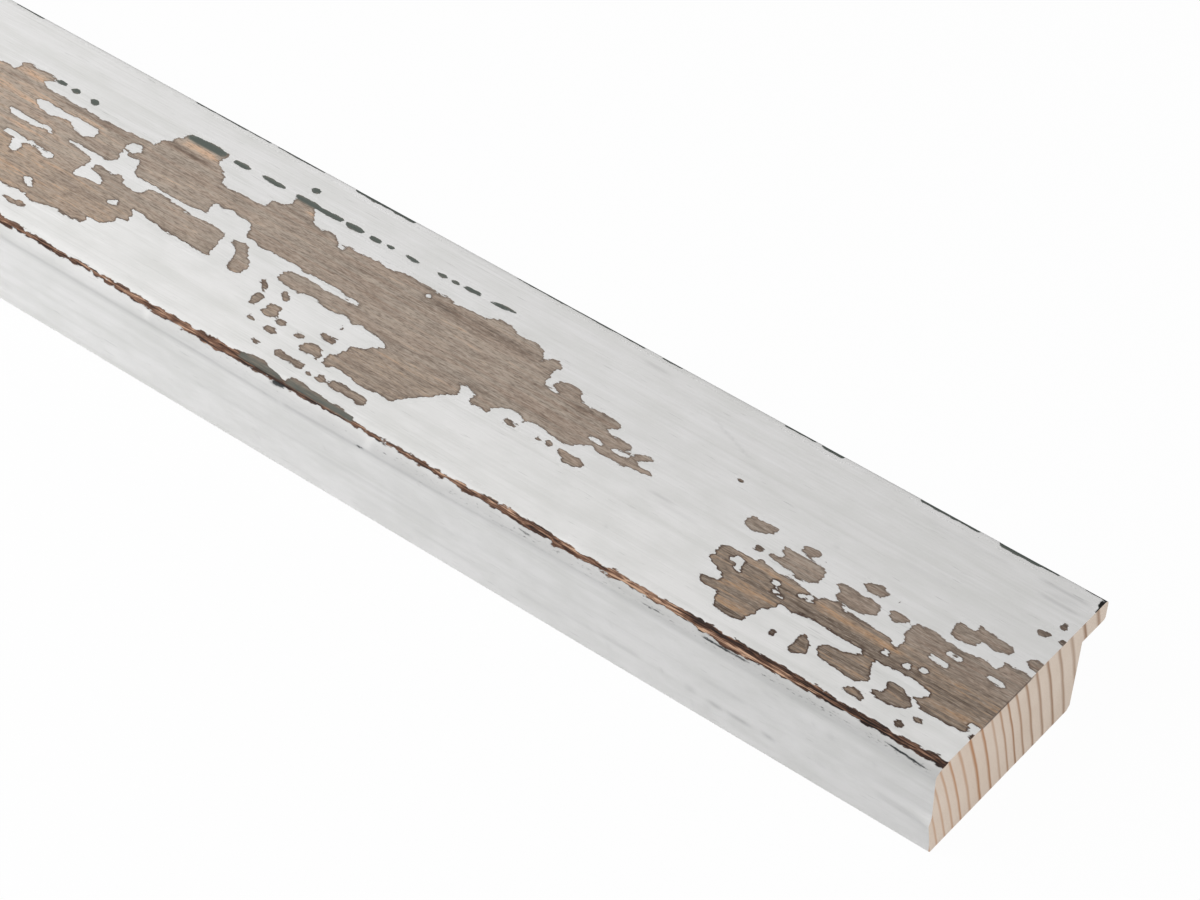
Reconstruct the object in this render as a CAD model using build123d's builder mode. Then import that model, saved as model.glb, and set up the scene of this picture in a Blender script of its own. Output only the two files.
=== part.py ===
# Solid softwood picture frame moulding, one sawn and moulded length.
# X runs along the length, the outer side faces -Y, the sight edge with its
# lip faces +Y, and the back lies on the floor at Z = 0.
# The section is a flat broad face over a rebate, with a flat outer side that
# leans in towards its foot. The worn paint and the grain are skin deep and
# belong to the finish.
import os

from build123d import *

os.makedirs("parts", exist_ok=True)

# Overall sizes in millimetres
LENGTH = 1200.0
WIDTH = 50.0
HEIGHT = 20.0

# Rebate under the sight edge, which takes glass, picture and backing
REBATE_WIDTH = 7.0
REBATE_DEPTH = 15.5

# Outer side: flat, widest at the shoulder and leaning in towards the foot
FOOT_SETBACK = 1.6
SHOULDER_DROP = 1.5

# Worn arris: it turns in over the shoulder and rises gently to the flat face
ARRIS_TURN_RUN = 0.55
ARRIS_TURN_DROP = 0.7
ARRIS_SLOPE_RUN = 1.7
ARRIS_SLOPE_DROP = 0.26
ARRIS_RUN = 3.3

# Sight edge, lip and the two lower corners
LIP_RADIUS = 1.0
LIP_EASE = 0.4
HEEL_EASE = 0.8
FOOT_EASE = 0.5

# Lines of the section
outer = -WIDTH / 2
sight = WIDTH / 2
wall = sight - REBATE_WIDTH

with BuildPart() as moulding:
    with BuildSketch(Plane.YZ) as section:
        with BuildLine():
            # Eased foot and flat outer side
            side = Polyline(
                (outer + FOOT_SETBACK + FOOT_EASE, 0),
                (outer + FOOT_SETBACK, FOOT_EASE),
                (outer, HEIGHT - SHOULDER_DROP),
            )
            # Worn arris, from the shoulder over onto the face
            arris = Spline(
                side @ 1,
                (outer + ARRIS_TURN_RUN, HEIGHT - ARRIS_TURN_DROP),
                (outer + ARRIS_SLOPE_RUN, HEIGHT - ARRIS_SLOPE_DROP),
                (outer + ARRIS_RUN, HEIGHT),
                tangents=[(0, 1), (1, 0)],
            )
            # Flat face up to the rounded sight edge
            face = Line(arris @ 1, (sight - LIP_RADIUS, HEIGHT))
            nose = CenterArc(
                (sight - LIP_RADIUS, HEIGHT - LIP_RADIUS),
                LIP_RADIUS,
                90,
                -90,
            )
            # Lip, rebate wall and heel
            lip = Polyline(
                nose @ 1,
                (sight, REBATE_DEPTH + LIP_EASE),
                (sight - LIP_EASE, REBATE_DEPTH),
                (wall, REBATE_DEPTH),
                (wall, HEEL_EASE),
                (wall - HEEL_EASE, 0),
            )
            back = Line(lip @ 1, side @ 0)
        make_face()
    extrude(amount=LENGTH / 2, both=True)
moulding.part.label = "moulding"

export_step(moulding.part, "parts/moulding.step")
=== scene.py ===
"""Picture frame moulding in solid softwood: white paint rubbed back over a brown stain, with a worn
arris and square sawn ends."""

import math
import random

import bmesh
import bpy
import numpy as np
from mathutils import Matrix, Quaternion, Vector, noise


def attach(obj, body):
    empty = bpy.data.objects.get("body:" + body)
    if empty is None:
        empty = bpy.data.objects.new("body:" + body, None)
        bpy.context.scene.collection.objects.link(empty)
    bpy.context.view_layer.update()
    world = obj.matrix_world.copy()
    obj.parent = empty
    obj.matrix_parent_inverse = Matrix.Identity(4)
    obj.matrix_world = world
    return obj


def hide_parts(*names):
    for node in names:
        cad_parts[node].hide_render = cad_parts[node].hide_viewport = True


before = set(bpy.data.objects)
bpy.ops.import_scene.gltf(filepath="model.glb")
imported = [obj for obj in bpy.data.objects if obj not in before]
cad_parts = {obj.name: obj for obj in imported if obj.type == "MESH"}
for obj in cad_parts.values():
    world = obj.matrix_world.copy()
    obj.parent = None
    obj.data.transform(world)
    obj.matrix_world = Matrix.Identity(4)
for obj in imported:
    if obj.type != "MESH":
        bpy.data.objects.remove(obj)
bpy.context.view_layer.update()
MM = 0.001

# The moulding as milled, in millimetres, as in the part's source
LENGTH, WIDTH, HEIGHT = 1200.0, 50.0, 20.0
REBATE_WIDTH, REBATE_DEPTH = 7.0, 15.5
LIP_RADIUS, LIP_EASE, HEEL_EASE = 1.0, 0.4, 0.8
FACE_START = 3.3

# Outer side from the foot up, then the arris over to the face: distance in from the outermost line,
# and height
FOOT = ((2.1, 0), (1.6, 0.5))
ARRIS = ((0.06, 17.9), (0, 18.6), (0.12, 19.08), (0.55, 19.38), (1.7, 19.76), (3.3, 20))
ARRIS_STEPS = (2, 2, 2, 3, 2)
SIDE_STEPS = 11

# How far the arris is rubbed down, from 0 to 1, back from the sawn end, and what 1 takes off its height
# at places round the section
RUBBED_DOWN = (
    (0, 0.1), (10, 0), (30, 0.15), (46, 0.1), (60, 0.1), (75, 0.25), (90, 0.6), (100, 0.85), (115, 0.9),
    (134, 1.1), (150, 0.75), (170, 0.75), (200, 0.7), (250, 0.6),
)
RUB_PROFILE = ((-10, 0), (-1.3, 1.25), (-0.5, 1.1), (0, 0.9), (0.5, 0.5), (1.7, 0.1), (3.3, 0))

# Where the torn ridge stands out of the side at the sawn end: place round the section, and share
TORN_RIDGE = ((-16.5, 0), (-11.6, 1), (-10.3, 0))

# The near stretch is seen close by, so its mesh is finer. Steps along it, along the rest, and across
# the face
NEAR_STRETCH = 250.0
NEAR_STEP, FAR_STEP, FACE_STEP = 0.62, 1.8, 1.2

# Points of one ring are level to within this, in metres
LEVEL = 1e-5

# The paint goes this far round the lip, measured round the section, and wear is laid out as far
SHOWN_TO = WIDTH + 4

# What each point of the mesh notes for the finish
WEAR_LAYERS = ("to_bare_wood", "wood_tone", "arris_wear", "dark_stain", "grime")

# Distance from bare wood of a place that no wear comes near, and how much flecks are let out, in mm
UNTOUCHED = 4.0
FLECK_GROWS, ISLAND_GROWS = 0.12, 0.15

# The coat of paint, in mm
COAT_THICKNESS = 0.12

# The pith of the tree, out from the middle of the width and below the back, in metres
PITH_OUT, PITH_BELOW = 0.175, 0.05

# Settings of nodes that blend colours, and that fade smoothly from one value to another
IN_COLOUR = {"data_type": "RGBA"}
SMOOTHLY = {"interpolation_type": "SMOOTHSTEP"}

# Where the paint is gone from the face: outlines in mm, back from the sawn end and in from the outer
# side
CHIPS = (
    # Patch at the sawn end
    ((55, 19), (54, 19.5), (51.5, 19.8), (49, 19.7), (48, 20.3), (46, 20), (44, 19.7), (40, 19.8),
     (37.5, 19.3), (36, 19.2), (35, 19.9), (33.8, 20.4), (33, 21), (32.3, 20.4), (31.5, 19.7),
     (29, 19.8), (26, 19.6), (22.5, 19.3), (21.3, 19), (20.8, 18.2), (20, 18.2), (20, 20.2),
     (20.9, 21.6), (20.9, 23.6), (20.3, 24.8), (18.5, 25.2), (16.8, 25.3), (15, 24.9), (12, 24.8),
     (10.5, 25), (7.5, 25.4), (5.6, 24.9), (5.1, 25.2), (5, 26.7), (3, 26.9), (-2, 27.1), (-2, 12.4),
     (1.8, 12.4), (2, 11.5), (1.2, 11), (1.3, 10.2), (2.8, 9.8), (5, 9.7), (8, 9.6), (9.8, 9.7),
     (11, 10.4), (11.9, 11), (11, 11.9), (10.2, 12.9), (10.6, 13.6), (13, 14.2), (14.5, 14.6),
     (16.5, 14.1), (19, 13.8), (21, 13.9), (21.2, 12.6), (20.2, 11.5), (19.4, 9.8), (19.8, 8.5),
     (21.3, 7.9), (23, 7.9), (24.5, 8.4), (27, 8.3), (28.7, 8.3), (29.8, 9.9), (29.6, 11), (28.8, 11.9),
     (26.5, 12), (24.5, 12.9), (23.2, 13.4), (23.8, 14.6), (26, 14.2), (30, 14.4), (33, 14.6),
     (36, 14.4), (37, 14), (39.8, 14), (40, 13.2), (40.4, 12), (41.5, 11.3), (41.7, 9.7), (42.1, 8.5),
     (42.5, 7), (44.5, 6.4), (46.5, 6.5), (48.2, 7), (48.7, 8.4), (49.3, 9.8), (51.5, 9.8), (53.2, 10),
     (54, 10.9), (53.5, 11.6), (52, 11.8), (50.5, 12.3), (51.3, 13.5), (53, 14.3), (54.5, 14.9),
     (55.4, 15.6), (54.8, 16.6), (55, 18)),
    ((55.8, 26.5), (55, 27.7), (52.3, 28.1), (50, 28.2), (49.7, 27.2), (51.2, 25.5), (53.4, 25),
     (55.2, 25)),
    ((45, 27.2), (44.2, 27.9), (42.5, 28.1), (41.2, 28), (41.2, 27.2), (41.8, 26.3), (43.2, 26.2),
     (44.4, 26.5)),
    ((32.3, 26.8), (31.4, 27.9), (29.5, 28.1), (28, 27.5), (27.4, 26.9), (28.3, 25.9), (31.3, 25.8)),
    ((47, 25.3), (44, 25.4), (42, 25.5), (38.8, 25.2), (38.2, 23.5), (37.9, 22), (39.5, 20.9),
     (41.5, 20.7), (43, 21.2), (45.5, 21.3), (47.7, 21.8), (47.7, 22.8), (46.1, 22.7), (46, 23.6),
     (46.9, 24.4)),
    ((35.3, 24.6), (34, 24.4), (32.5, 24.6), (31, 24.4), (28.8, 24.7), (27.2, 24.2), (26.6, 23),
     (26.8, 21.8), (28.5, 20.9), (30.5, 20.6), (32, 20.7), (33.5, 21), (34.3, 21.8), (34.3, 22.9),
     (35.3, 23.6)),
    ((25.2, 24.7), (23.8, 25.2), (22.6, 25), (21.7, 24.2), (22.5, 23.4), (24, 22.8), (25, 23.4)),
    ((15.6, 29.8), (12.8, 29.9), (12.5, 31), (11, 31.1), (8.5, 30.7), (6, 30.6), (4.9, 29.8),
     (5.5, 28.7), (7.5, 28), (9.5, 28.3), (10.3, 27.7), (10.8, 26.8), (12, 26.2), (14, 26), (15.3, 26.8),
     (15.7, 28)),
    ((2.6, 29.9), (1.8, 30.7), (-2, 30.6), (-2, 27.8), (1.5, 28.2), (2.4, 29.1)),
    ((5, 36.2), (4.2, 37.2), (3, 37.3), (2.5, 36.6), (3.2, 35.9), (4.3, 35.7)),
    ((33.6, 10.8), (32.5, 11.2), (31.5, 10.3), (30.4, 9.1), (30.3, 7.6), (32.5, 6.5), (33.3, 6.8),
     (33.3, 8.5), (33.2, 9.8)),
    ((17.1, 10.7), (16.6, 11.8), (14.5, 11.9), (13.4, 11.1), (12.2, 10.5), (10.9, 9.2), (11.3, 8),
     (13, 7.2), (15, 7), (17.9, 7.4), (17.6, 8.5), (16.5, 8.9), (16.2, 10)),
    ((21.8, 5.4), (21, 6.5), (19.5, 6.5), (18, 6.1), (17, 5.4), (18, 4.9), (20.5, 5)),
    ((9.6, 7.9), (9, 8.3), (7.8, 7.8), (7.6, 7), (8.8, 6.6), (9.6, 7)),
    # Long patch, and the tail that it runs out in
    ((73.7, 24.3), (75, 23.7), (77.5, 23.4), (80, 23.1), (82.2, 23), (84, 22.8), (85, 23.2),
     (85.4, 23.8), (86.5, 23), (87.5, 22.2), (88.3, 21.4), (89.5, 21), (91, 21.2), (93.5, 21.6),
     (96.5, 22), (97.5, 21.3), (98.2, 20.6), (98.8, 21.4), (99.5, 22), (101.5, 22), (102.7, 21.3),
     (103.7, 20.7), (104.2, 19.8), (104.3, 18.6), (106, 18.7), (107.2, 18.2), (108.2, 18.9),
     (108.5, 19.9), (108.3, 20.6), (109.5, 21.3), (111.5, 21.4), (112.5, 21.1), (111.3, 20.2),
     (110.6, 19.4), (110.8, 18.4), (112, 17.8), (112.5, 16.6), (113.5, 15.6), (115, 14.2), (116, 13),
     (117, 12), (117.7, 11.2), (117.7, 10.3), (118.8, 9.9), (120, 10.3), (121.5, 10.1), (123, 9.8),
     (125, 9.6), (127, 9.9), (129, 10.2), (131, 10.3), (132.2, 9.3), (133.2, 10), (133.8, 11.4),
     (133.5, 12.7), (132.6, 13), (132.5, 14.8), (132.3, 16), (131, 16.8), (130, 17.2), (129.8, 18.6),
     (128.2, 19.3), (127.6, 19.8), (128.8, 20.7), (130.5, 21), (132.5, 21.1), (134, 21.4), (135.3, 21.3),
     (136, 20.7), (136.6, 21.3), (138.5, 21.5), (140.5, 21.2), (142.5, 21.2), (145, 21.5), (146.5, 21.5),
     (148, 21), (150.5, 21.1), (152.5, 21.3), (153.7, 21), (154.2, 22.5), (154, 24), (153.4, 24.7),
     (150, 24.7), (147, 24.9), (143, 24.8), (139.5, 24.9), (137.7, 25.1), (139.5, 25.9), (141, 25.8),
     (143, 26.3), (145, 26), (147, 26.2), (150, 26.3), (151.5, 25.8), (153, 26.3), (156, 26),
     (158, 26.4), (160, 26.2), (162, 26), (163.5, 26.5), (165, 26.4), (165.8, 27.2), (166.3, 28.5),
     (167, 29.3), (168.3, 29.9), (170.5, 29.9), (172, 30.3), (173.5, 29.6), (175.2, 29.7), (175.7, 29),
     (175.2, 27.5), (174.6, 26.6), (177, 26.4), (179, 26.1), (181, 26), (184, 26), (188, 25.9),
     (191.5, 26), (192.5, 26.9), (193.3, 28.4), (194, 29.5), (195.2, 29.6), (196.6, 29.3), (197.4, 29.8),
     (198.3, 29.2), (197.3, 28), (197.2, 27), (198, 26.1), (201, 26), (205, 26), (207.7, 25.7),
     (207.3, 25.2), (205, 24.9), (202, 24.8), (200.7, 24.3), (200.3, 23), (200.7, 21.5), (200.8, 20),
     (200, 19), (198, 19.8), (196.5, 19.7), (194.9, 20), (195, 21.3), (197, 22), (199, 22.4),
     (199.3, 23.5), (198.5, 24.1), (196.5, 23.8), (195, 23.6), (193.5, 24.7), (192.5, 23.7),
     (191.5, 22.8), (189, 22.6), (187.6, 22.9), (187.2, 24.8), (186, 25.2), (183.3, 25), (180, 24.8),
     (177, 24.5), (174, 24.6), (170, 24.6), (168.7, 24.6), (168.1, 23.9), (168.3, 23), (167.8, 21.8),
     (167.4, 20.7), (167.6, 19.8), (166.8, 18.6), (166.6, 18), (168, 17.8), (170.5, 17.9), (172.5, 18),
     (175, 18.3), (176.5, 17.8), (178, 18), (179.5, 18.5), (181, 18.4), (182.5, 18.9), (184.5, 18.8),
     (185.5, 18.8), (184.3, 17.2), (184, 15.9), (185.9, 15.2), (185.7, 13.8), (186.2, 13.2), (187, 12.3),
     (189.5, 12.1), (190.1, 11.8), (189.5, 10.9), (190, 10.2), (191.5, 9.9), (193.5, 9.6), (195.7, 9.8),
     (197.5, 9.3), (199.5, 8.8), (200.8, 8.3), (201.6, 8.6), (202.8, 9.4), (204, 9.2), (206.5, 9),
     (208.5, 9.1), (212, 9.4), (214, 10.4), (217, 10.2), (219, 11.5), (222, 11.8), (223, 13.2),
     (226, 13.6), (227, 15.5), (230, 16), (231, 18), (229, 19.2), (231, 20.8), (234, 21.5), (235, 23.2),
     (238, 24), (241, 24.6), (242, 26.5), (240, 28), (242, 29.5), (241, 31), (238, 31.6), (237, 33),
     (233, 34.8), (230, 34.8), (229.5, 36), (230.2, 36.9), (229, 37.6), (226, 37.4), (222.8, 37.6),
     (221, 37), (219.8, 37.6), (219.9, 36.6), (222.5, 36.3), (222.9, 35.2), (221.5, 34.5), (218, 34.3),
     (212, 34.3), (206, 34.2), (202, 34.4), (200, 34.9), (197, 34.9), (195.3, 34.8), (194.9, 35.8),
     (195.2, 37.2), (193.3, 37.8), (193.6, 39), (192.4, 40), (192.5, 41.2), (191, 41.7), (189, 41.8),
     (187.5, 42.2), (185, 42), (183, 41.6), (182.5, 40.6), (183.2, 39.8), (182.8, 38.6), (181.7, 38),
     (180.5, 37.2), (179.2, 36.5), (179, 35.2), (178.5, 34.6), (174, 34.6), (169, 34.8), (168.3, 35.2),
     (168.6, 36.3), (169, 36.8), (168, 37.4), (166.5, 37.2), (165.8, 38), (165.6, 40.3), (162, 40.2),
     (160.5, 39), (159.5, 37.8), (158, 37), (156.5, 36.8), (155.5, 37.2), (154, 37), (152, 36.4),
     (149, 36.3), (147, 36.2), (145, 36.5), (143.5, 36.9), (141, 36.4), (139.5, 36.6), (138.5, 37.2),
     (136, 37.2), (134, 37), (132.5, 37.3), (130.5, 36.8), (129, 37), (127.5, 37.2), (126, 36.8),
     (124, 37.2), (122, 37), (121, 37.3), (119.5, 37.4), (118.8, 38), (117, 38.7), (115.7, 38.2),
     (114.5, 38.7), (113, 37.8), (111, 37.5), (109, 38), (107.5, 37.4), (106.2, 36.7), (105.7, 35.8),
     (105.4, 34.9), (105.2, 35.6), (104.5, 36.4), (103.2, 36.7), (101.8, 36.2), (101.4, 35.4),
     (102.2, 34.8), (102, 33.5), (101.5, 32.3), (101.7, 31.4), (100, 31.2), (100, 31.8), (99.5, 32.8),
     (98, 33.4), (96.5, 33.6), (95, 33.1), (94.5, 32), (93.5, 31.2), (92, 31), (90.5, 31.2),
     (88.5, 31.4), (86.5, 31.3), (85.2, 31), (84.8, 30.3), (85.5, 29.3), (86.2, 28.5), (85.8, 27.9),
     (84, 28), (82, 28.2), (80.8, 28.2), (80.2, 27.6), (80.3, 26.8), (79.4, 26.6), (78.6, 26.9),
     (78, 27.7), (76.5, 28.2), (75.4, 27.6), (76.3, 26.5), (77.2, 25.8), (77.8, 25.2), (76, 24.9),
     (74.3, 24.9)),
    ((166.5, 24.3), (165, 24.6), (163.3, 24.8), (162.7, 24), (161.5, 22.8), (160.2, 21.6), (159.5, 20.3),
     (159.4, 18.4), (160.3, 17.7), (161.5, 17.7), (162.8, 18.2), (163.2, 19.3), (163.5, 20.8),
     (164.3, 22.3), (165.2, 23.2), (166.3, 23.7)),
    ((150.2, 16), (148.5, 16), (147.7, 16.3), (147.4, 15), (147, 14), (147.6, 12.8), (149.3, 12.6),
     (150.2, 13.2), (150, 14.5)),
    ((139.2, 11), (138.6, 12.2), (137, 12.7), (135.3, 12.2), (134.3, 10.9), (134.6, 9.8), (136.3, 10),
     (138.6, 9.6)),
    ((89.9, 19.4), (88.5, 19.8), (87, 19.6), (85, 19.9), (84, 19.3), (83.8, 18.6), (85, 17.7),
     (86.9, 17.2), (88, 18), (89, 18.6)),
    ((205.5, 6.5), (203.5, 6.9), (201.8, 7.7), (200.3, 7), (201.5, 6.2), (203.8, 5.9)),
)

# Small losses: from, to and half width
FLECKS = (
    (50.2, 22.1, 49.8, 22.1, 0.6), (40.4, 27, 39.4, 26.7, 0.2), (2.2, 39.9, 2.2, 39.5, 0.45),
    (0.4, 36.5, -0.5, 36.3, 0.6), (37.2, 7.9, 37, 7.7, 0.5), (10.5, 5, 10.3, 4.8, 0.68),
    (0.2, 10.1, -0.5, 10.1, 0.4), (25.6, 26.9, 25.5, 26.9, 0.25), (61.9, 33.2, 61.5, 33.2, 0.4),
    (155, 19.6, 153.6, 18.3, 0.45), (150, 19.4, 148.8, 18.3, 0.5), (152.9, 16, 152.9, 14.4, 0.85),
    (145.6, 13.1, 145.2, 13, 0.75), (141.4, 12.5, 140.3, 12.7, 0.6), (137.6, 15.3, 135.4, 15.2, 0.6),
    (150.6, 10.7, 149.9, 10.7, 0.5), (146.3, 10.6, 144.7, 10.5, 0.6), (146.2, 6.7, 145, 6.7, 0.45),
    (140.6, 6.9, 135.5, 6.8, 0.6), (133.2, 6.4, 133, 6.3, 0.3), (131.1, 6.7, 130.3, 6.6, 0.6),
    (128.2, 6.9, 121.8, 6.8, 0.85), (136.8, 19.1, 136.5, 18.9, 0.35), (100.3, 19.2, 98.6, 19.2, 0.55),
    (93.8, 19.1, 93.6, 19.1, 0.3), (91.7, 19.5, 91.2, 19.4, 0.35),
)

# Dark dashes along the grain lines near the back, as flecks
DASHES = (
    (180.95, 41, 177.85, 41, 0.63), (174.15, 41.1, 169.45, 41.1, 0.58), (166.15, 41, 160.65, 41, 0.63),
    (160.55, 40.8, 155.65, 41, 0.68), (154.35, 41, 150.85, 41, 0.68), (148.95, 40.9, 146.65, 40.9, 0.58),
    (145.05, 41, 143.65, 41, 0.48), (140.55, 41.1, 137.65, 41, 0.48), (133.35, 41.2, 131.65, 41.2, 0.45),
    (130.35, 41.2, 128.85, 41.2, 0.45), (127.55, 41.4, 124.25, 41.5, 0.5),
    (121.55, 41.4, 116.65, 41.6, 0.45), (165.1, 44.4, 164.1, 44.4, 0.85),
    (217.3, 37.1, 216.1, 37.1, 0.7), (212.6, 37.1, 211.2, 36.8, 0.75), (221.2, 37.2, 219.4, 37.2, 0.6),
    (191.8, 41.1, 184, 41.2, 0.85),
)

# Paint left standing inside the patches
ISLANDS = (
    ((52.4, 17.5), (51.3, 18.5), (49.9, 18.3), (49.6, 17.3), (49, 16.2), (49.3, 15.7), (50.6, 15.7),
     (51, 16.9), (52.2, 17.2)),
    ((39, 17.6), (38.5, 18.3), (37, 18.8), (36, 18.2), (35.7, 17.6), (37.3, 17.4)),
    ((152, 35.8), (150, 35.8), (150.2, 34.4), (151.2, 34.8)),
    ((101.4, 31.3), (98.6, 31), (97.9, 30.7), (98.5, 30.2), (101.3, 30.3)),
    ((220.4, 30.8), (218.5, 31.3), (212, 31.4), (206, 31.4), (205, 30.5), (205.3, 29), (206.5, 28.3),
     (209, 28.3), (210.3, 29.2), (211, 29.8), (212.5, 29.3), (214.5, 28.9), (217.5, 28.8), (219.3, 29.8)),
    ((222.8, 26), (221, 26.1), (218.5, 25.8), (215.5, 25.5), (213.8, 26), (211.7, 26), (211, 24.8),
     (213, 24.9), (216, 24.5), (218.5, 24.4), (220.5, 24.3), (221.8, 24.8)),
    ((199.2, 31.5), (198.2, 32.8), (196.5, 33), (195.4, 31.6), (196.7, 30.4), (198.5, 30.4)),
    ((190.8, 17.8), (189.3, 19), (188.2, 17.8), (190, 16.7)),
    ((215.3, 20), (214.8, 17.2), (213, 16.3), (212.8, 18.2), (213.4, 20)),
)
ISLAND_FLECKS = (
    (43.3, 17.8, 43.1, 17.8, 0.45), (42.5, 15.9, 40.6, 15.5, 0.35), (20.9, 16.1, 20.8, 16.1, 0.4),
    (16.6, 16.1, 16.4, 16.1, 0.35), (13.9, 16.9, 13.7, 16.8, 0.4), (12.9, 22.8, 10.9, 22.9, 0.35),
    (4.7, 22.6, 2.7, 22.5, 0.35), (14.8, 20.4, 12, 20.2, 0.35), (87, 25.2, 84.9, 25, 0.3),
    (82, 25.2, 79.4, 25.7, 0.3), (218, 20.2, 213, 20.2, 0.5), (212.5, 20.6, 207, 20, 0.45),
    (205.4, 12.5, 204, 11.8, 0.55), (131, 35.1, 130.6, 35.1, 0.35),
)

# Worn band along the front arris: back from the sawn end, its upper and its lower edge, measured round
# the section, and two chips above it
ARRIS_BAND = (
    (-2, 3.3, 1.7), (5, 3.2, 1.7), (10, 2.95, 1.6), (15, 3.1, 1.55), (20, 3.05, 1.5), (25, 3.1, 1.5),
    (28, 3.15, 1.45), (35, 3.15, 1.35), (37, 3, 0.95), (39, 3.15, 0.85), (42, 3.1, 0.8), (44, 3, 1.3),
    (46, 3, 1), (48, 3.05, 1.4), (55, 2.7, 1.5), (62, 2.6, 1.5), (70, 2.55, 1.4), (76, 2.7, 1.25),
    (80, 2.9, 1.4), (88, 2.75, 1.5), (95, 2.45, 1.5), (105, 2.4, 1.5), (115, 2.15, 1.55),
    (121, 2.2, 1.55), (130, 2.5, 1.45), (140, 2.5, 1.5), (147, 2.7, 1.1), (150, 2.9, 0.95),
    (153, 2.6, 1.2), (158, 2.4, 1.1), (164, 2.4, 1.1), (172, 2.4, 1.3), (182, 2.35, 1.4),
    (192, 2.3, 1.4), (202, 2.4, 1.2), (215, 2.5, 1.3), (232, 2.3, 1.5), (250, 2.5, 1.4),
)
ARRIS_CHIPS = (
    ((145.5, 2.2), (145, 3.2), (142.5, 3.9), (140.5, 3.7), (139, 3.1), (136.5, 2.8), (136, 2.2)),
    ((135, 2.2), (134.8, 3.4), (132, 3.7), (128, 3.3), (123, 3), (120.3, 2.8), (120, 2)),
)

# Dark line where the sight edge is rubbed, and notches at its sawn corner: from, to and half width
SIGHT_LINE = WIDTH - LIP_RADIUS + 0.45
SIGHT_EDGE_RUBS = (
    (9.5, 14, 0.4), (13, 20, 0.75), (25, 36, 0.5), (52.5, 56, 0.6), (58, 64, 0.35), (86, 90, 0.22),
    (94, 122, 0.26), (146, 159, 0.55), (167, 178, 0.3), (180, 198, 0.28),
)
CORNER_NOTCHES = ((0.3, 47.9, 0.3, 49.8, 0.46), (0, 46.2, 0, 47.6, 0.28), (0.6, 49.6, 4, 49.6, 0.3))

# Painted shade over the arris rounding and in the crease under it, partly thin paint there, and dirt in
# marks
# on the side and face: from, place round the section there, to, place, there, half width and strength
DIRT_AND_PAINTED_SHADE = (
    # Painted shade over the arris rounding and in its crease, partly thin paint there, and the lines beside
    # it
    (-5, 0.4, 115, 0.4, 1.3, 0.57), (115, 0.4, 165, 0.4, 1.3, 0.49), (165, 0.4, 1205, 0.4, 1.3, 0.42),
    (-5, 0.1, 60, 0.1, 0.8, 0.6), (134.2, 1.6, 137, 1.1, 0.5, 1.8), (60, -0.2, 134, -0.8, 0.5, 0.5),
    (134, -0.8, 200, -0.8, 0.5, 0.4), (2, 0.3, 10, 0.7, 0.22, 1.4), (12, 0.4, 34, 0.2, 0.25, 0.7),
    (53, 0.35, 58, 0.3, 0.2, 1), (36, 0.6, 46, 0.5, 0.25, 1.2), (79.8, 0.5, 83.3, 0.7, 0.25, 1),
    (79.8, 0.1, 88.8, -0.2, 0.25, 0.7), (115.6, -0.6, 117.4, -0.7, 0.3, 1.1),
    (103.2, -1.5, 104, -1.5, 0.3, 0.6), (137, -0.9, 138, -0.9, 0.3, 0.7),
    # Marks on the side
    (27.1, -0.9, 27.6, -0.9, 0.45, 0.36), (38.2, -1.4, 38.8, -1.4, 0.45, 0.21),
    (29.8, -3.6, 32.8, -3.6, 0.5, 0.15), (22.5, -4.2, 23, -4.2, 0.45, 0.3),
    (18.8, -4.9, 20.3, -4.9, 0.45, 0.3), (11, -5.6, 11.4, -5.6, 0.45, 0.21),
    # The second mark on the next line, under the torn ridge at the sawn end, is painted shade under the
    # ridge
    (35.8, -9.1, 44.8, -9.1, 0.45, 0.18), (0, -12.1, 10.1, -12, 0.45, 0.37),
    (57.8, -13, 65.8, -12.9, 0.45, 0.27), (46.1, -13.6, 47.8, -13.6, 0.45, 0.45),
    (40.6, -13.9, 43.2, -13.9, 0.45, 0.51), (35.4, -14, 39.4, -14.1, 0.45, 0.57),
    (30.4, -14.1, 32.4, -14.1, 0.45, 0.48), (42.8, -15.3, 44.3, -15.3, 0.45, 0.21),
    (36, -16.1, 39, -16, 0.45, 0.26), (46.2, -17.5, 46.8, -17.5, 0.45, 0.18),
    (63.3, -15.1, 64.1, -15.1, 0.45, 0.27), (52.4, -13.3, 53.2, -13.3, 0.45, 0.21),
    (62.8, -9.1, 63.8, -9.1, 0.45, 0.18), (20.2, -13.2, 22, -13.2, 0.45, 0.15),
    (95.8, -10.1, 127.8, -10, 0.5, 0.12), (127.8, -9.6, 154.8, -10, 0.5, 0.11),
    (112.3, -14.5, 116.8, -14.5, 0.45, 0.15), (91.8, -14.8, 104.8, -14.7, 0.45, 0.11),
    (73.8, -14.7, 82.8, -14.8, 0.45, 0.14), (66.8, -13, 74.8, -13, 0.45, 0.17),
    (140, -14.8, 140.8, -14.8, 0.45, 0.21), (124.4, -9, 124.8, -6, 0.45, 0.18),
    (0, -9, 95.8, -9.4, 0.45, 0.07), (199.8, -14, 201.8, -14, 0.5, 0.15),
    # Marks on the face
    (87, 46.5, 92, 46.5, 0.3, 0.3), (64, 38.7, 74, 42.5, 0.25, 0.22), (61, 37.8, 64, 37.8, 0.25, 0.2),
    (40.3, 30.7, 40.9, 30.7, 0.3, 0.6), (38.7, 44.5, 39.1, 44.5, 0.3, 0.35),
    (21.5, 35.3, 30, 35.2, 0.3, 0.14), (2, 46.6, 11, 46.4, 0.35, 0.42), (3, 45.2, 8, 45, 0.3, 0.42),
    (2, 43.6, 9, 43.5, 0.35, 0.38), (67, 21.4, 71.5, 21.4, 0.3, 0.3), (61, 20.2, 69, 20.2, 0.3, 0.16),
    (71.6, 9.8, 72.4, 9.8, 0.4, 0.22), (16, 45.8, 34, 45.8, 0.4, 0.14), (70, 44, 84, 44, 0.3, 0.12),
)

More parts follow.
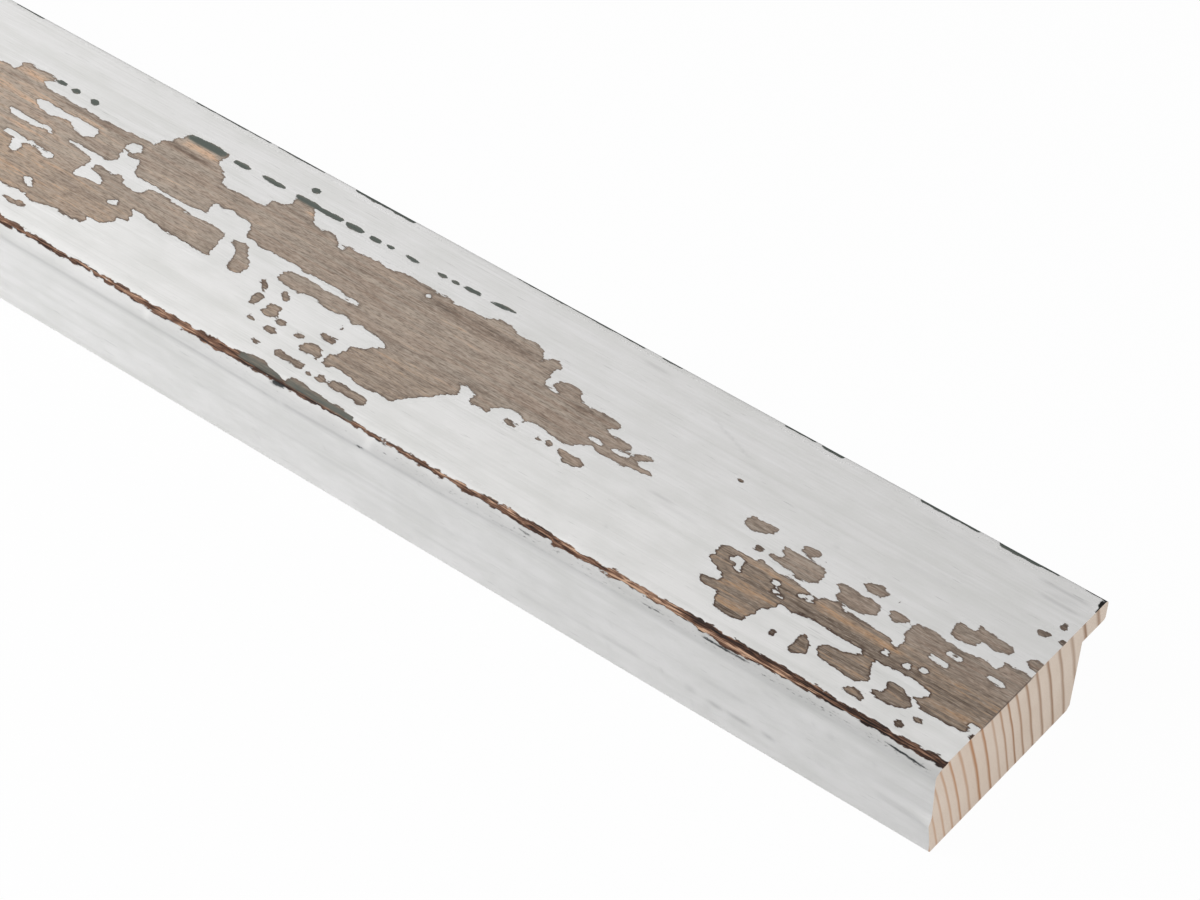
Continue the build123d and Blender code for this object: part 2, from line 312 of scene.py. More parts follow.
# Streaks in the bare wood: from, to, place, half width and tone, where 1 is tan and -1 is dark
STREAKS = (
    # On the face
    (42, 53, 12.4, 0.8, 1), (-2, 10, 12, 0.5, 1), (40, 50, 10.9, 0.6, -0.7), (41, 49, 9, 0.9, 0.9),
    (41, 49, 7.3, 0.6, -1), (20, 29, 9.2, 0.9, 0.9), (20, 29, 11.2, 0.7, -0.3), (20, 26, 8.2, 0.4, -0.8),
    (30, 34, 8, 0.9, 0.7), (30, 34, 7, 0.4, -0.8), (11, 17.5, 9.2, 0.7, 0.7), (11, 18, 7.8, 0.6, -0.8),
    (12, 17, 11, 0.7, -0.7), (1, 10, 10.4, 0.5, -0.9), (-2, 50, 16.8, 0.6, -0.3), (20, 36, 17.4, 1, 1.1),
    (-2, 55, 14.6, 0.5, -0.6), (20, 50, 18, 0.7, 0.6), (-2, 44, 17.8, 0.7, 0.6),
    (-2, 18, 19.6, 0.4, -0.4), (17, 22, 6, 0.4, 0.9), (107, 131, 34.9, 1, -1.7),
    (96, 104, 33.4, 1, -1.1), (86, 95, 30.3, 0.8, -0.9), (112, 132, 12.9, 0.5, -0.8),
    (88, 125, 24.2, 0.4, -0.5), (85, 100, 28.2, 0.5, 0.4), (184, 192, 39.3, 1, 2.4),
    (184, 193, 37.3, 0.6, -2.6), (198, 230, 33.2, 0.8, -1.5), (200, 224, 27.5, 0.6, -1.1),
    (224, 229, 37.5, 0.5, -1.8), (181, 193, 41.4, 0.6, -2.4), (0, 5, 36.8, 1.4, -1.6),
    (0, 3, 39.8, 0.8, -1.4), (222, 230, 35.8, 0.9, 1.2), (151, 166, 37, 0.7, -1.7),
    (157.5, 162, 38.8, 0.9, 2.6), (176, 190, 29, 0.8, 0.7), (185, 205, 13.2, 0.7, 0.4),
    (130, 150, 34, 0.4, -0.4), (200, 235, 30, 0.8, 0.6),
    # Along the arris
    (-4, 24, 2.6, 0.9, -0.5), (22, 48, 2.0, 0.3, 2.2), (20, 50, 2.9, 0.6, -0.9),
    (36, 50, 2.6, 0.6, -0.4), (50, 66, 2.1, 0.5, 0.6), (70, 74, 2, 0.5, 0.9), (84, 108, 2, 0.5, 0.5),
    (50, 66, 1.9, 0.9, 1.2), (128, 146, 2, 0.5, -0.6), (150, 180, 1.8, 0.4, 0.4),
    (186, 230, 1.9, 0.4, -0.4),
)


def linear(code):
    """An sRGB hex colour as linear RGBA."""
    parts = [int(code[i:i + 2], 16) / 255 for i in (1, 3, 5)]
    return tuple(p / 12.92 if p <= 0.04045 else ((p + 0.055) / 1.055) ** 2.4 for p in parts) + (1,)


def grey(amount):
    return (amount, amount, amount, 1)


def add(tree, kind, inputs, out=None, **settings):
    """Adds a node with its settings and links, and gives its first output in use, or the one named.
    Inputs go by name, or in order over the sockets in use. Each is a value, or a socket to link."""
    node = tree.nodes.new("ShaderNode" + kind)
    for name, value in settings.items():
        if name == "stops":
            ramp = node.color_ramp.elements
            while len(ramp) < len(value):
                ramp.new(0.5)
            for stop, (place, shade) in zip(ramp, value):
                stop.position = place
                stop.color = shade
        else:
            setattr(node, name, value)
    if isinstance(inputs, dict):
        pairs = [(node.inputs[name], value) for name, value in inputs.items()]
    else:
        pairs = list(zip([socket for socket in node.inputs if socket.enabled], inputs))
    for socket, value in pairs:
        if isinstance(value, bpy.types.NodeSocket):
            tree.links.new(value, socket)
        else:
            socket.default_value = value
    if out:
        return node.outputs[out]
    return next((socket for socket in node.outputs if socket.enabled), None)


def per_mm(*sizes):
    """The mapping scale that makes a pattern's unit this many millimetres along each axis."""
    return tuple(1000 / size for size in sizes)


# The shape

def smooth_line(points, steps):
    """Points along a smooth line through the given ones."""
    ends = [points[0]] + list(points) + [points[-1]]
    line = [Vector(points[0])]
    for i, count in enumerate(steps):
        a, b, c, d = (Vector(p) for p in ends[i:i + 4])
        for k in range(1, count + 1):
            t = k / count
            bend = (2 * a - 5 * b + 4 * c - d) * t * t + (3 * b - a - 3 * c + d) * t ** 3
            line.append(0.5 * (2 * b + (c - a) * t + bend))
    return line


def straight_line(start, end, count):
    """Points from start to end, the start left out."""
    return [Vector(start).lerp(Vector(end), k / count) for k in range(1, count + 1)]


def section_outline():
    """The section from the foot up the outer side, over the face and back underneath, each point with
    its distance round the outline. The distance is FACE_START where the face starts, so that on the
    face it is the distance in from the outer side."""
    wall = WIDTH - REBATE_WIDTH
    line = [Vector(point) for point in FOOT]
    line += straight_line(FOOT[1], ARRIS[0], SIDE_STEPS)
    line += smooth_line(ARRIS, ARRIS_STEPS)[1:]
    face_from = len(line) - 1
    face_to = WIDTH - LIP_RADIUS
    line += straight_line(line[-1], (face_to, HEIGHT), round((face_to - FACE_START) / FACE_STEP))
    centre = Vector((face_to, HEIGHT - LIP_RADIUS))
    for turn in range(15, 91, 15):
        angle = math.radians(turn)
        line.append(centre + LIP_RADIUS * Vector((math.sin(angle), math.cos(angle))))
    for end, count in (
        ((WIDTH, REBATE_DEPTH + LIP_EASE), 2),
        ((WIDTH - LIP_EASE, REBATE_DEPTH), 1),
        ((wall, REBATE_DEPTH), 2),
        ((wall, HEEL_EASE), 2),
        ((wall - HEEL_EASE, 0), 1),
        (FOOT[0], 4),
    ):
        line += straight_line(line[-1], end, count)
    line.pop()
    round_to = [0.0]
    for a, b in zip(line, line[1:]):
        round_to.append(round_to[-1] + (b - a).length)
    start = round_to[face_from] - FACE_START
    return line, [r - start for r in round_to]


def smoothstep(low, high, value):
    t = np.clip((value - low) / (high - low), 0, 1)
    return t * t * (3 - 2 * t)


def to_outline(points, x, y):
    """Distance of each place from a closed outline, negative inside it."""
    inside = np.zeros(len(x), bool)
    nearest = np.full(len(x), 1e9)
    for (ax, ay), (bx, by) in zip(points, points[1:] + points[:1]):
        dx, dy = bx - ax, by - ay
        t = np.clip(((x - ax) * dx + (y - ay) * dy) / (dx * dx + dy * dy), 0, 1)
        nearest = np.minimum(nearest, np.hypot(x - ax - t * dx, y - ay - t * dy))
        crosses = (ay > y) != (by > y)
        inside ^= crosses & (x < ax + (y - ay) * dx / (dy or 1e-9))
    return np.where(inside, -nearest, nearest)


def to_fleck(fleck, x, y, taper=0.0):
    """Distance of each place from a fleck's edge, negative inside it. With taper it thins to its ends."""
    ax, ay, bx, by, half = fleck
    dx, dy = bx - ax, by - ay
    t = np.clip(((x - ax) * dx + (y - ay) * dy) / (dx * dx + dy * dy + 1e-9), 0, 1)
    return np.hypot(x - ax - t * dx, y - ay - t * dy) - half * (1 - taper * abs(2 * t - 1) ** 3)


def wander(x, y, size_x, size_y, seed):
    """Smooth noise of about -1 to 1, with features of this size in mm."""
    return np.array([noise.noise((a / size_x, b / size_y, seed)) for a, b in zip(x, y)])


def wander_along(x, size, seed):
    """The same along the length only."""
    return wander(x, 0 * x, size, 1, seed)


def ridge_line(place, half, across):
    """1 on a line, falling away softly to both sides."""
    return np.exp(-(((across - place) / half) ** 2))


def stretch(start, end, soft, back):
    """1 between two distances back from the sawn end, 0 outside, with soft ends."""
    return smoothstep(start - soft, start + soft, back) * (1 - smoothstep(end - soft, end + soft, back))


# The wear

def far_drifts():
    """Losses beyond the near stretch, in the same manner: drifts of long flecks with small ones round
    them, the paint left inside them, and the streaks in their wood."""
    rng = random.Random(41)
    lost, left, streaks = [], [], []
    middle = NEAR_STRETCH + 42
    while middle < LENGTH + 40:
        reach, lie = rng.uniform(38, 62), rng.uniform(17, 33)
        lean = rng.uniform(-0.12, 0.12)
        for _ in range(rng.randint(13, 18)):
            at = middle + rng.gauss(0, reach * 0.42)
            place = lie + lean * (at - middle) + rng.gauss(0, 4.2)
            if not 8 < place < 41:
                continue
            long, half = rng.uniform(6, 24), rng.uniform(1.2, 3.2)
            lost.append((at - long / 2, place, at + long / 2, place + rng.uniform(-0.8, 0.8), half))
            for _ in range(rng.randint(0, 2)):
                a, b = at + rng.uniform(-long / 2, long / 2), place + rng.uniform(-0.6, 0.6) * half
                ends = (a, b, a + rng.uniform(0.6, 5), b + rng.uniform(-0.2, 0.2))
                left.append(ends + (rng.uniform(0.25, 0.6),))
            line = (at - long, at + long, place + rng.uniform(-2, 2))
            streaks.append(line + (rng.uniform(0.4, 0.8), rng.uniform(-1, 1)))
        for _ in range(rng.randint(20, 32)):
            at = middle + rng.uniform(-1.25, 1.25) * reach
            place = lie + lean * (at - middle) + rng.choice((-1, 1)) * rng.uniform(4, 15)
            if 5 < place < 45:
                end = (at + rng.uniform(0.3, 4.5), place + rng.uniform(-0.3, 0.3))
                lost.append((at, place) + end + (rng.uniform(0.35, 0.85),))
        middle += rng.uniform(95, 150)
    return lost, left, streaks


def near_losses(x, y):
    """On the near stretch: how far each place is from bare wood, how dark it is with old stain, and how
    much darker its wood is where the loss is a fleck."""
    lost = np.full(len(x), UNTOUCHED)
    stain = np.zeros(len(x))
    in_fleck = np.zeros(len(x))
    for outline in CHIPS + ARRIS_CHIPS:
        lost = np.minimum(lost, to_outline(outline, x, y))
    for fleck in FLECKS:
        d = to_fleck(fleck, x, y)
        lost = np.minimum(lost, d - FLECK_GROWS)
        in_fleck = np.maximum(in_fleck, 1 - smoothstep(0, 0.5, d))
    for island in ISLANDS:
        lost = np.maximum(lost, -to_outline(island, x, y))
    for fleck in ISLAND_FLECKS:
        lost = np.maximum(lost, ISLAND_GROWS - to_fleck(fleck, x, y))
    for dash in DASHES:
        d = to_fleck(dash, x, y, taper=0.35)
        lost = np.minimum(lost, d)
        stain = np.maximum(stain, 1.1 - 1.1 * smoothstep(-0.1, 0.5, d))
    for chip in ARRIS_CHIPS:
        in_chip = 1 - smoothstep(0, 0.5, to_outline(chip, x, y))
        stain = np.maximum(stain, in_chip * (0.9 - 0.5 * smoothstep(2.5, 3.4, y)))
    return lost, stain, in_fleck * (2.0 - 1.3 * smoothstep(50, 70, x))


def far_losses(x, y, drifts, standing):
    """Beyond the near stretch: how far each place is from bare wood."""
    lost = np.full(len(x), UNTOUCHED)
    for fleck in drifts:
        lost = np.minimum(lost, to_fleck(fleck, x, y))
    lost += 1.3 * wander(x, y, 7, 1.7, 3.1) + 0.5 * wander(x, y, 2.6, 0.9, 7.7)
    for fleck in standing:
        lost = np.maximum(lost, -to_fleck(fleck, x, y))
    return lost + 8 * (1 - smoothstep(NEAR_STRETCH - 12, NEAR_STRETCH + 2, x))


def arris_band(back, across):
    """How far each place is from the worn band along the arris, and the band's lower edge there."""
    from_end, upper, lower = np.array(ARRIS_BAND).T
    grow = 0.45 * wander_along(back, 42, 11.5) * smoothstep(NEAR_STRETCH, NEAR_STRETCH + 30, back)
    upper = np.interp(back, from_end, upper) + 0.22 * wander_along(back, 2.2, 1.5) + grow
    lower = np.interp(back, from_end, lower) - 0.2 * wander_along(back, 1.7, 5.5) - 0.4 * grow
    return np.maximum(across - upper, lower - across), lower


def sight_edge_rubs():
    """The rubs seen, and beyond them more in the same manner."""
    rng = random.Random(7)
    rubs, at = list(SIGHT_EDGE_RUBS), NEAR_STRETCH - 30
    while at < LENGTH:
        at += rng.uniform(6, 40)
        rubs.append((at, at + rng.uniform(3, 28), rng.uniform(0.18, 0.36)))
        at = rubs[-1][1]
    return rubs


def dirt_and_painted_shade_laid(back, across):
    """How much dirt the paint has, and where shade is painted over the arris rounding and in its crease."""
    grime = np.zeros(len(back))
    for start, place, end, place_there, half, strength in DIRT_AND_PAINTED_SHADE:
        line = np.interp(back, (start, end), (place, place_there))
        reach = stretch(start, end, min(1.5, 0.3 * (end - start) + 0.2), back)
        grime = np.maximum(grime, strength * reach * ridge_line(line, half, across))
    return grime


def wear_at(back, across):
    """The wear at each place, back from the sawn end and round the section, in the order of
    WEAR_LAYERS: how far it is from bare wood in mm, negative where the paint is gone; the wood's tone;
    how much it is the scorched colour of the arris; how dark with old stain; how much dirt the paint has,
    with shade painted over the arris rounding and in its crease."""
    away = np.full(len(back), UNTOUCHED)
    dark = np.zeros(len(back))
    # Farther back the wood is rubbed paler
    tone = (0.7 * smoothstep(30, 130, back) + 0.7 * smoothstep(192, 215, back)) * (across > 4)

    near = (back < NEAR_STRETCH + 8) & (across > -3)
    away[near], dark[near], darker = near_losses(back[near], across[near])
    tone[near] -= darker

    drifts, standing, far_streaks = far_drifts()
    far = (back > NEAR_STRETCH - 20) & (across > 3)
    away[far] = np.minimum(away[far], far_losses(back[far], across[far], drifts, standing))

    for start, end, place, half, strength in STREAKS + tuple(far_streaks):
        line = place + 0.35 * np.sin(back / 17 + place)
        tone += strength * stretch(start, end, 3, back) * ridge_line(line, half, across)

    # The band along the arris is darkest at its lower edge
    band, lower = arris_band(back, across)
    arris = 1 - smoothstep(-0.05, 0.5, band)
    rim = (1.2 - 0.5 * smoothstep(25, 45, back)) * ridge_line(lower, 0.3, across)
    tone += arris * (0.25 * smoothstep(30, 60, back) - rim)
    away = np.minimum(away, band)

    # Rubs lie on the first part of the sight edge's rounding, and notches at its sawn corner
    for start, end, half in sight_edge_rubs():
        d = to_fleck((start, SIGHT_LINE, end, SIGHT_LINE, half), back, across)
        away = np.minimum(away, d)
        dark = np.maximum(dark, 1.15 * (1 - smoothstep(0.1, 0.5, d)))
    for notch in CORNER_NOTCHES:
        d = to_fleck(notch, back, across)
        away = np.minimum(away, d)
        dark = np.maximum(dark, 1.6 * (1 - smoothstep(0, 0.3, d)))
    return away, tone, arris, dark, dirt_and_painted_shade_laid(back, across)


def moulded_length():
    """The moulding as one closed mesh. The near stretch has the finer mesh."""
    line, distance = section_outline()
    bm = bmesh.new()
    across_layer = bm.verts.layers.float.new("across")
    ring = []
    for point, far_round in zip(line, distance):
        vert = bm.verts.new((LENGTH / 2 * MM, (point.x - WIDTH / 2) * MM, point.y * MM))
        vert[across_layer] = far_round
        ring.append(vert)
    start = bm.faces.new(ring)
    pushed = bmesh.ops.extrude_face_region(bm, geom=[start], use_keep_orig=True)
    far_ring = [g for g in pushed["geom"] if isinstance(g, bmesh.types.BMVert)]
    bmesh.ops.translate(bm, verts=far_ring, vec=(-LENGTH * MM, 0, 0))

    cut = (LENGTH / 2 - NEAR_STRETCH) * MM
    whole = bm.verts[:] + bm.edges[:] + bm.faces[:]
    bmesh.ops.bisect_plane(bm, geom=whole, plane_co=(cut, 0, 0), plane_no=(1, 0, 0), dist=1e-7)
    for low, high, step in ((cut, 1, NEAR_STEP), (-1, cut, FAR_STEP)):
        long = []
        for edge in bm.edges:
            start, end = sorted(v.co.x for v in edge.verts)
            if end - start > 0.1 and low - LEVEL < start and end < high + LEVEL:
                long.append(edge)
        span = abs(long[0].verts[0].co.x - long[0].verts[1].co.x) / MM
        bmesh.ops.subdivide_edges(bm, edges=long, cuts=round(span / step) - 1, use_grid_fill=True)

    # On the near stretch, all that the camera sees is divided once more round the section
    across_it = []
    for edge in bm.edges:
        a, b = edge.verts
        shown = all(v.co.x > cut - LEVEL and -17 < v[across_layer] < WIDTH - 0.5 for v in edge.verts)
        if shown and abs(a.co.x - b.co.x) < LEVEL:
            across_it.append(edge)
    bmesh.ops.subdivide_edges(bm, edges=across_it, cuts=1, use_grid_fill=True)
    bmesh.ops.recalc_face_normals(bm, faces=bm.faces)
    for edge in bm.edges:
        edge.smooth = edge.calc_face_angle(0) < math.radians(32)
    for face in bm.faces:
        face.smooth = True
    return bm, across_layer


def lay_out_map(bm, across_layer):
    """Folds the length onto the square map in strips, so that the baked colours keep their detail. The
    hidden underside gets a narrower share, and the two sawn ends lie above the strips."""
    uv_layer = bm.loops.layers.uv.new("OFBake")
    whole = max(v[across_layer] for v in bm.verts)
    foot = min(v[across_layer] for v in bm.verts)
    seam = whole + (WIDTH - REBATE_WIDTH - HEEL_EASE - FOOT[0][0]) / 4

    def rise(across):
        return min(across, SHOWN_TO) - foot + 0.42 * max(across - SHOWN_TO, 0)

    full = rise(seam)
    fold = (LENGTH + NEAR_STRETCH) / 2
    strips = (
        (0, NEAR_STRETCH, 0.004, 0.386),
        (NEAR_STRETCH, fold, 0.394, 0.651),
        (fold, LENGTH, 0.659, 0.906),
    )
    for face in bm.faces:
        backs = [LENGTH / 2 - loop.vert.co.x / MM for loop in face.loops]
        if max(backs) - min(backs) < 1e-3:
            offset = 0.01 if backs[0] < 1 else 0.26
            for loop in face.loops:
                across, up = loop.vert.co.y / MM + WIDTH / 2, loop.vert.co.z / MM
                loop[uv_layer].uv = (offset + across * 0.0044, 0.912 + up * 0.0042)
            continue
        middle = sum(backs) / len(backs)
        start, end, low, high = next(strip for strip in strips if strip[0] <= middle <= strip[1])
        rounds = [loop.vert[across_layer] for loop in face.loops]
        if max(rounds) - min(rounds) > whole / 2:
            rounds = [seam if r < 0 else r for r in rounds]
        for loop, back, across in zip(face.loops, backs, rounds):
            u = 0.002 + 0.996 * (back - start) / (end - start)
            loop[uv_layer].uv = (u, low + (high - low) * rise(across) / full)


def give_finishes(bm, across_layer):
    """Paint on all that shows, sawn wood on the ends, and planed wood underneath."""
    for face in bm.faces:
        rounds = [v[across_layer] for v in face.verts]
        if abs(face.normal.x) > 0.9:
            face.material_index = 1
        elif min(rounds) >= SHOWN_TO - 0.5 or max(rounds) - min(rounds) > 20:
            face.material_index = 2


def wear_down(bm, across_layer):
    """Rubs the shape away where the wood is bare, and notes the wear on each point for the finish."""
    layers = [bm.verts.layers.float.new(name) for name in WEAR_LAYERS]
    verts = bm.verts[:]
    back = np.array([LENGTH / 2 - v.co.x / MM for v in verts])
    across = np.array([v[across_layer] for v in verts])
    wear = wear_at(back, across)
    for values, unworn in zip(wear, (UNTOUCHED, 0, 0, 0, 0)):
        values[across > SHOWN_TO] = unworn
    away, arris = wear[0], wear[2]
    gone = 1 - smoothstep(-0.5, 0.35, away)
    nick = np.clip(wander(back, across, 5, 1.1, 21.5), 0, 1)
    depth = gone * (arris * (0.1 + 0.35 * nick) + 0.05 * (across > 3.5))

    # The arris is rubbed down by a varying amount, and a torn ridge stands out of the side at the end
    uneven = 0.3 * wander_along(back, 60, 3.5) * smoothstep(NEAR_STRETCH, NEAR_STRETCH + 40, back)
    rubbed = np.interp(back, *zip(*RUBBED_DOWN)) + uneven
    drop = rubbed * np.interp(across, *zip(*RUB_PROFILE))
    ridge = 0.75 * np.exp(-back / 3.5) * np.interp(across, *zip(*TORN_RIDGE))
    for vert, down, out in zip(verts, drop, ridge):
        vert.co -= Vector((0, float(out), float(down))) * MM
    bm.normal_update()

    # A point at a sawn end stays in its plane
    at_ends = (back < 0.01) | (back > LENGTH - 0.01)
    for vert, deep, at_end in zip(verts, depth, at_ends):
        way = vert.normal.copy()
        if at_end:
            way.x = 0
            way.normalize()
        vert.co -= way * float(deep) * MM
    for layer, values in zip(layers, wear):
        for vert, value in zip(verts, values):
            vert[layer] = float(value)


# The finishes

def new_finish(name):
    material = bpy.data.materials.new(name)
    material.use_nodes = True
    tree = material.node_tree
    tree.nodes.clear()
    return material, tree


def close_finish(tree, colour, roughness, specular, height):
    """The surface shader, with relief given in millimetres."""
    relief = add(tree, "Bump", {"Height": height, "Distance": MM, "Strength": 1.0})
    look = {"Base Color": colour, "Roughness": roughness, "Specular IOR Level": specular, "Normal": relief}
    add(tree, "OutputMaterial", [add(tree, "BsdfPrincipled", look)])


def streaks_along(tree, place, seed, along, across, detail=3.0, bend=0.0):
    """Noise drawn out along the grain, about 0 to 1. A bend makes the streaks waver."""
    offset = (seed, seed * 1.7, seed * 0.6)
    drawn_out = {"Vector": place, "Scale": per_mm(along, across, across), "Location": offset}
    where = add(tree, "Mapping", drawn_out)
    look = {"Vector": where, "Scale": 1.0, "Detail": detail, "Roughness": 0.55, "Distortion": bend}
    return add(tree, "TexNoise", look)


def weighed(tree, total, *parts):
    """Patterns added up, each times its weight."""
    for pattern, weight in parts:
        total = add(tree, "Math", [pattern, weight, total], operation="MULTIPLY_ADD")
    return total


def coated(tree, colour, *coats):
    """One colour after another laid over a ground, each by its share."""
    for share, over in coats:
        colour = add(tree, "Mix", [share, colour, linear(over)], **IN_COLOUR)
    return colour


def tinted(tree, shade, *stops):
    """The wood's colour by its shade, from dark to pale."""
    return add(tree, "ValToRGB", [shade], stops=[(place, linear(code)) for place, code in stops])


def white_emulsion(tree, place, wear, brushed, ridged):
    """Faint brush lines 0.7 mm apart, clouds of tone, few grey scuffs, and dirt gathered in dashes. It is
    painted paler towards the outer side, as painted light, and darkened by dirt and by painted shade over
    the arris rounding and in its crease.
    """
    across = add(tree, "SeparateXYZ", [place], "Y")
    cloud = streaks_along(tree, place, 5.0, 9, 4)
    scuff = streaks_along(tree, place, 9.0, 5, 0.4, 2.0)
    dashes = streaks_along(tree, place, 12.0, 0.9, 0.25, 2.0)
    grime = wear["grime"]
    gathered = weighed(tree, -0.8, (dashes, 1.6), (grime, 1.0))
    gathered = add(tree, "MapRange", [gathered, 0.68, 1.2], **SMOOTHLY)
    dirt_and_shade_share = add(tree, "MapRange", [grime, 0.1, 0.6], **SMOOTHLY)
    return coated(
        tree,
        linear("#E4E3E1"),
        (add(tree, "MapRange", [brushed, 0.3, 0.75]), "#EAE9E8"),
        # Painted light: the paint is paler towards the outer side and over it
        (add(tree, "MapRange", [across, 0.012, -0.02], **SMOOTHLY), "#ECEBE9"),
        (add(tree, "MapRange", [ridged, 0.3, 0.5, 0.4, 0]), "#D6D6D2"),
        (add(tree, "MapRange", [cloud, 0.36, 0.6, 0.4, 0]), "#D9D9D5"),
        (add(tree, "MapRange", [scuff, 0.68, 0.78, 0, 0.4]), "#A9AAA7"),
        # Dirt in the marks, and painted shade over the arris rounding and in its crease, grey the paint
        (add(tree, "Math", [grime, 0.55], operation="MULTIPLY"), "#45484A"),
        (add(tree, "Math", [gathered, dirt_and_shade_share], operation="MULTIPLY"), "#2B2E2F"),
    )


def stained_wood(tree, place, wear, fibre, rim):
    """Softwood stained grey brown, with fibres under half a millimetre wide and blotches of stain. By the
    outer side near the sawn end it is streaked tan and dark. The rim along the paint is darkened, partly
    dirt and partly painted shade under the edge of the coat."""
    along, across = add(tree, "SeparateXYZ", [place], "X"), add(tree, "SeparateXYZ", [place], "Y")
    outward = add(tree, "MapRange", [across, -0.003, -0.008], **SMOOTHLY)
    endward = add(tree, "MapRange", [along, 0.525, 0.55, 0.35, 1], **SMOOTHLY)
    streaky = add(tree, "Math", [outward, endward], operation="MULTIPLY")
    bands = streaks_along(tree, place, 7.0, 18, 0.85, bend=0.5)
    hue = streaks_along(tree, place, 15.0, 15, 0.9, bend=0.5)
    short_blotch = streaks_along(tree, place, 14.0, 4.5, 1.9, bend=0.6)
    long_blotch = streaks_along(tree, place, 17.0, 9, 0.7, bend=1.0)
    share = add(tree, "Math", [streaky, 0.7], operation="MULTIPLY")
    blotch = add(tree, "Mix", [share, short_blotch, long_blotch])
    shade = weighed(tree, -0.5, (fibre, 0.45), (bands, 0.33), (blotch, 0.22))
    contrast = add(tree, "Math", [streaky, 1.45], operation="ADD")
    shade = weighed(tree, 0.5, (shade, contrast), (wear["wood_tone"], 0.15))
    even = tinted(
        tree, shade,
        (0.22, "#695D53"), (0.42, "#8E8073"), (0.58, "#A5988B"), (0.72, "#B6A899"), (0.9, "#D5B498"),
    )
    even = coated(tree, even, (add(tree, "MapRange", [hue, 0.42, 0.64, 0, 0.25]), "#AC8B76"))
    streaked = tinted(
        tree, shade,
        (0.18, "#54463B"), (0.34, "#7A6B5E"), (0.5, "#908274"), (0.66, "#A48D78"), (0.84, "#B89574"),
    )
    wood = add(tree, "Mix", [streaky, even, streaked], **IN_COLOUR)
    speck = add(tree, "Mapping", {"Vector": place, "Scale": per_mm(1.2, 0.22, 0.22)})
    speck = add(tree, "TexNoise", {"Vector": speck, "Scale": 1.0, "Detail": 2.0})
    wood = coated(
        tree,
        wood,
        (add(tree, "MapRange", [speck, 0.5, 0.7, 0, 0.55]), "#5C4F45"),
        (add(tree, "MapRange", [speck, 0.27, 0.43, 0.5, 0]), "#C4B6AA"),
    )
    # Dark rim along the paint's edge: partly dirt, partly painted shade under the edge of the coat
    dirt = add(tree, "Mix", [streaky, linear("#54463C"), linear("#46332A")], **IN_COLOUR)
    share = add(tree, "Math", [rim, weighed(tree, 0.5, (streaky, 0.4))], operation="MULTIPLY")
    return add(tree, "Mix", [share, wood, dirt], **IN_COLOUR)


def rubbed_paint():
    """White emulsion brushed over brown-stained softwood and rubbed back: chalky and nearly matt, with
    faint brush lines along the length. Where it is gone the stained wood shows. The arris is burnished
    red brown, with tan and near black lines."""
    material, tree = new_finish("rubbed_white_emulsion_on_stained_softwood")
    place = add(tree, "TexCoord", [], "Object")
    wear = {name: add(tree, "Attribute", [], "Fac", attribute_name=name) for name in WEAR_LAYERS}

    # The torn edge of the paint, ragged at about half a millimetre, and less where old stain is
    fine = streaks_along(tree, place, 3.0, 1.3, 0.5)
    broad = streaks_along(tree, place, 13.0, 3.2, 1.2, 1.0)
    torn = weighed(tree, -1.0, (fine, 1.0), (broad, 1.0))
    ragged = add(tree, "MapRange", [wear["dark_stain"], 0, 1, 1.1, 0.4], **SMOOTHLY)
    edge = weighed(tree, wear["to_bare_wood"], (torn, ragged))
    bare = add(tree, "MapRange", [edge, 0.07, -0.07], **SMOOTHLY)
    by_edge = add(tree, "MapRange", [edge, -0.5, -0.05], **SMOOTHLY)
    # The rim just inside a loss, which the wood finish darkens as dirt and painted shade under the coat's
    # edge
    rim = add(tree, "Math", [by_edge, bare], operation="MULTIPLY")

    brushed = streaks_along(tree, place, 1.0, 28, 0.7)
    ridged = streaks_along(tree, place, 8.0, 60, 1.9, 2.0)
    fibre = streaks_along(tree, place, 2.0, 6.5, 0.36, 4.0, bend=0.7)
    paint = white_emulsion(tree, place, wear, brushed, ridged)
    wood = stained_wood(tree, place, wear, fibre, rim)
    burr = streaks_along(tree, place, 4.0, 4, 0.28, 4.0, bend=0.8)
    burnished = tinted(
        tree, weighed(tree, burr, (wear["wood_tone"], 0.1)),
        (0.35, "#1E1512"), (0.44, "#3F291F"), (0.53, "#6E4F3E"), (0.61, "#98755F"), (0.69, "#D2AD90"),
    )
    wood = add(tree, "Mix", [wear["arris_wear"], wood, burnished], **IN_COLOUR)
    wood = coated(
        tree,
        wood,
        (add(tree, "MapRange", [wear["dark_stain"], 0.05, 1.2], **SMOOTHLY), "#5E655F"),
        (add(tree, "MapRange", [wear["dark_stain"], 1.0, 1.5], **SMOOTHLY), "#15120F"),
    )
    colour = add(tree, "Mix", [bare, paint, wood], **IN_COLOUR)

    coat = weighed(tree, COAT_THICKNESS, (bare, -COAT_THICKNESS))
    height = weighed(tree, coat, (brushed, 0.025), (ridged, 0.06), (fibre, 0.06))
    close_finish(tree, colour, weighed(tree, 0.58, (bare, 0.14)), 0.35, height)
    return material


